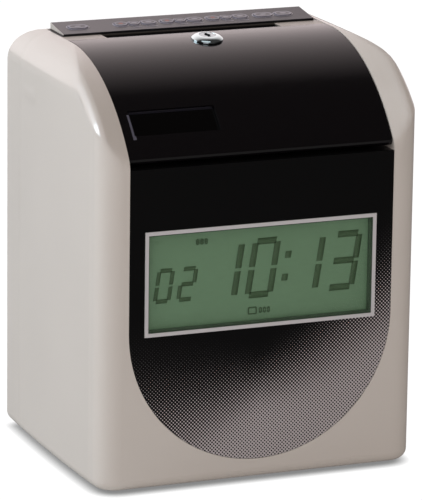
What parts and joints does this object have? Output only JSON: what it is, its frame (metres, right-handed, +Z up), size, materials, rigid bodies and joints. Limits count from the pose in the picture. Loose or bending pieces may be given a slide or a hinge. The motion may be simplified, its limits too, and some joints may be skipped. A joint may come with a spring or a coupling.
{
  "type": "date and time stamp machine",
  "caption": "Table-top card time recorder with a curved lockable cover, a display panel, a card slot and a strip of keys on top.",
  "frame": {"origin": "centre of the footprint, on the table under the rubber feet", "axes": "+X to the viewer's right, +Y to the rear, +Z up; the display faces -Y"},
  "size_m": [0.16, 0.1268, 0.1991],
  "materials": {
    "case_plastic": "satin off-white moulded plastic",
    "black_plastic": "gloss black moulded plastic",
    "smoked_pane": "smoked acrylic",
    "panel_print": "printed polycarbonate",
    "frame_plastic": "satin grey plastic",
    "clear_window": "clear acrylic",
    "display_glass": "liquid crystal cell",
    "strip_plastic": "satin grey printed plastic",
    "key_plastic": "satin grey plastic",
    "white_plastic": "natural white plastic",
    "dark_plastic": "black plastic",
    "board": "green glass-epoxy board",
    "chrome_metal": "polished chrome",
    "sheet_steel": "zinc-plated sheet",
    "shaft_steel": "ground steel",
    "brass_metal": "turned brass",
    "rubber": "matte rubber",
    "grey_rubber": "matte grey rubber",
    "gear_plastic": "acetal",
    "ribbon_fabric": "inked fabric ribbon",
    "battery_wrap": "shrink wrap"
  },
  "bodies": {
    "case": {"front_case": "case_plastic", "rear_case": "case_plastic", "rubber_feet": "rubber", "case_screws": "shaft_steel", "hinge_pins": "shaft_steel", "lock_catch": "sheet_steel", "front_panel": "panel_print", "lcd_frame": "frame_plastic", "lcd_window": "clear_window", "lcd_glass": "display_glass", "lcd_holder": "dark_plastic", "display_board": "board", "display_screws": "shaft_steel", "control_strip": "strip_plastic", "keypad_board": "board", "key_switches": "dark_plastic", "chute_front_plate": "sheet_steel", "chute_rear_plate": "sheet_steel", "chute_rails": "dark_plastic", "card_stop": "dark_plastic", "platen": "grey_rubber", "feed_motor": "sheet_steel", "guide_rods": "shaft_steel", "carriage_motor": "sheet_steel", "ribbon_cassette": "dark_plastic", "ink_ribbon": "ribbon_fabric", "left_side_frame": "sheet_steel", "right_side_frame": "sheet_steel", "frame_screws": "shaft_steel", "main_board": "board", "backup_battery": "battery_wrap", "power_jack": "dark_plastic"},
    "cover": {"front_cover": "black_plastic", "cover_window": "smoked_pane", "lock_bezel": "chrome_metal", "lock_nut": "shaft_steel"},
    "lock": {"lock_plug": "chrome_metal", "lock_cam": "sheet_steel"},
    "feed": {"feed_shaft": "shaft_steel", "feed_rollers": "rubber", "feed_gear": "gear_plastic"},
    "pinion": {"motor_pinion": "brass_metal"},
    "pinch": {"pinch_shaft": "shaft_steel", "pinch_rollers": "grey_rubber"},
    "carriage": {"print_carriage": "dark_plastic", "print_head": "sheet_steel"},
    "screw": {"lead_screw": "shaft_steel"},
    "knob": {"ribbon_knob": "white_plastic"},
    "left_key_cap": {"left_key": "key_plastic"},
    "date_key_cap": {"date_key": "key_plastic"},
    "set_key_cap": {"set_key": "key_plastic"},
    "morning_round_key_cap": {"morning_round_key": "key_plastic"},
    "morning_small_key_cap": {"morning_small_key": "key_plastic"},
    "morning_oval_key_cap": {"morning_oval_key": "key_plastic"},
    "noon_round_key_cap": {"noon_round_key": "key_plastic"},
    "noon_small_key_cap": {"noon_small_key": "key_plastic"},
    "noon_oval_key_cap": {"noon_oval_key": "key_plastic"},
    "evening_round_key_cap": {"evening_round_key": "key_plastic"},
    "evening_small_key_cap": {"evening_small_key": "key_plastic"},
    "evening_oval_key_cap": {"evening_oval_key": "key_plastic"}
  },
  "joints": [
    {"name": "cover_hinge", "type": "hinge", "parent": "case", "child": "cover", "pos_m": [0, -0.05798, 0.156], "axis": [1, 0, 0], "range_deg": [0, 110]},
    {"name": "lock_turn", "type": "hinge", "parent": "cover", "child": "lock", "pos_m": [-0.0016, 0.0032, 0.1954], "axis": [0, -0.1159, 0.9933], "range_deg": [0, 90]},
    {"name": "feed_turn", "type": "hinge", "parent": "case", "child": "feed", "pos_m": [0, 0.03, 0.0715], "axis": [1, 0, 0], "continuous": true},
    {"name": "motor_turn", "type": "hinge", "parent": "case", "child": "pinion", "pos_m": [0, 0.04194, 0.05956], "axis": [1, 0, 0], "continuous": true},
    {"name": "pinch_turn", "type": "hinge", "parent": "case", "child": "pinch", "pos_m": [0, 0.0167, 0.0715], "axis": [1, 0, 0], "continuous": true},
    {"name": "carriage_slide", "type": "slide", "parent": "case", "child": "carriage", "axis": [1, 0, 0], "range_m": [-0.024, 0.024]},
    {"name": "screw_turn", "type": "hinge", "parent": "case", "child": "screw", "pos_m": [0, -0.01908, 0.1235], "axis": [1, 0, 0], "range_deg": [-725, 725]},
    {"name": "knob_turn", "type": "hinge", "parent": "case", "child": "knob", "pos_m": [-0.034, -0.01158, 0.161], "axis": [0, 0, 1], "continuous": true},
    {"name": "left_key_press", "type": "slide", "parent": "case", "child": "left_key_cap", "axis": [0, 0.1359, -0.9907], "range_m": [0, 0.0004], "stiffness_N_per_m": 400},
    {"name": "date_key_press", "type": "slide", "parent": "case", "child": "date_key_cap", "axis": [0, 0.1359, -0.9907], "range_m": [0, 0.0004], "stiffness_N_per_m": 400},
    {"name": "set_key_press", "type": "slide", "parent": "case", "child": "set_key_cap", "axis": [0, 0.1359, -0.9907], "range_m": [0, 0.0004], "stiffness_N_per_m": 400},
    {"name": "morning_round_key_press", "type": "slide", "parent": "case", "child": "morning_round_key_cap", "axis": [0, 0.1359, -0.9907], "range_m": [0, 0.0004], "stiffness_N_per_m": 400},
    {"name": "morning_small_key_press", "type": "slide", "parent": "case", "child": "morning_small_key_cap", "axis": [0, 0.1359, -0.9907], "range_m": [0, 0.0004], "stiffness_N_per_m": 400},
    {"name": "morning_oval_key_press", "type": "slide", "parent": "case", "child": "morning_oval_key_cap", "axis": [0, 0.1359, -0.9907], "range_m": [0, 0.0004], "stiffness_N_per_m": 400},
    {"name": "noon_round_key_press", "type": "slide", "parent": "case", "child": "noon_round_key_cap", "axis": [0, 0.1359, -0.9907], "range_m": [0, 0.0004], "stiffness_N_per_m": 400},
    {"name": "noon_small_key_press", "type": "slide", "parent": "case", "child": "noon_small_key_cap", "axis": [0, 0.1359, -0.9907], "range_m": [0, 0.0004], "stiffness_N_per_m": 400},
    {"name": "noon_oval_key_press", "type": "slide", "parent": "case", "child": "noon_oval_key_cap", "axis": [0, 0.1359, -0.9907], "range_m": [0, 0.0004], "stiffness_N_per_m": 400},
    {"name": "evening_round_key_press", "type": "slide", "parent": "case", "child": "evening_round_key_cap", "axis": [0, 0.1359, -0.9907], "range_m": [0, 0.0004], "stiffness_N_per_m": 400},
    {"name": "evening_small_key_press", "type": "slide", "parent": "case", "child": "evening_small_key_cap", "axis": [0, 0.1359, -0.9907], "range_m": [0, 0.0004], "stiffness_N_per_m": 400},
    {"name": "evening_oval_key_press", "type": "slide", "parent": "case", "child": "evening_oval_key_cap", "axis": [0, 0.1359, -0.9907], "range_m": [0, 0.0004], "stiffness_N_per_m": 400}
  ],
  "couplings": [
    {"joint": "motor_turn", "follows": "feed_turn", "ratio": -2.5},
    {"joint": "pinch_turn", "follows": "feed_turn", "ratio": -1.1667},
    {"joint": "screw_turn", "follows": "carriage_slide", "rad_per_m": 523.6}
  ]
}
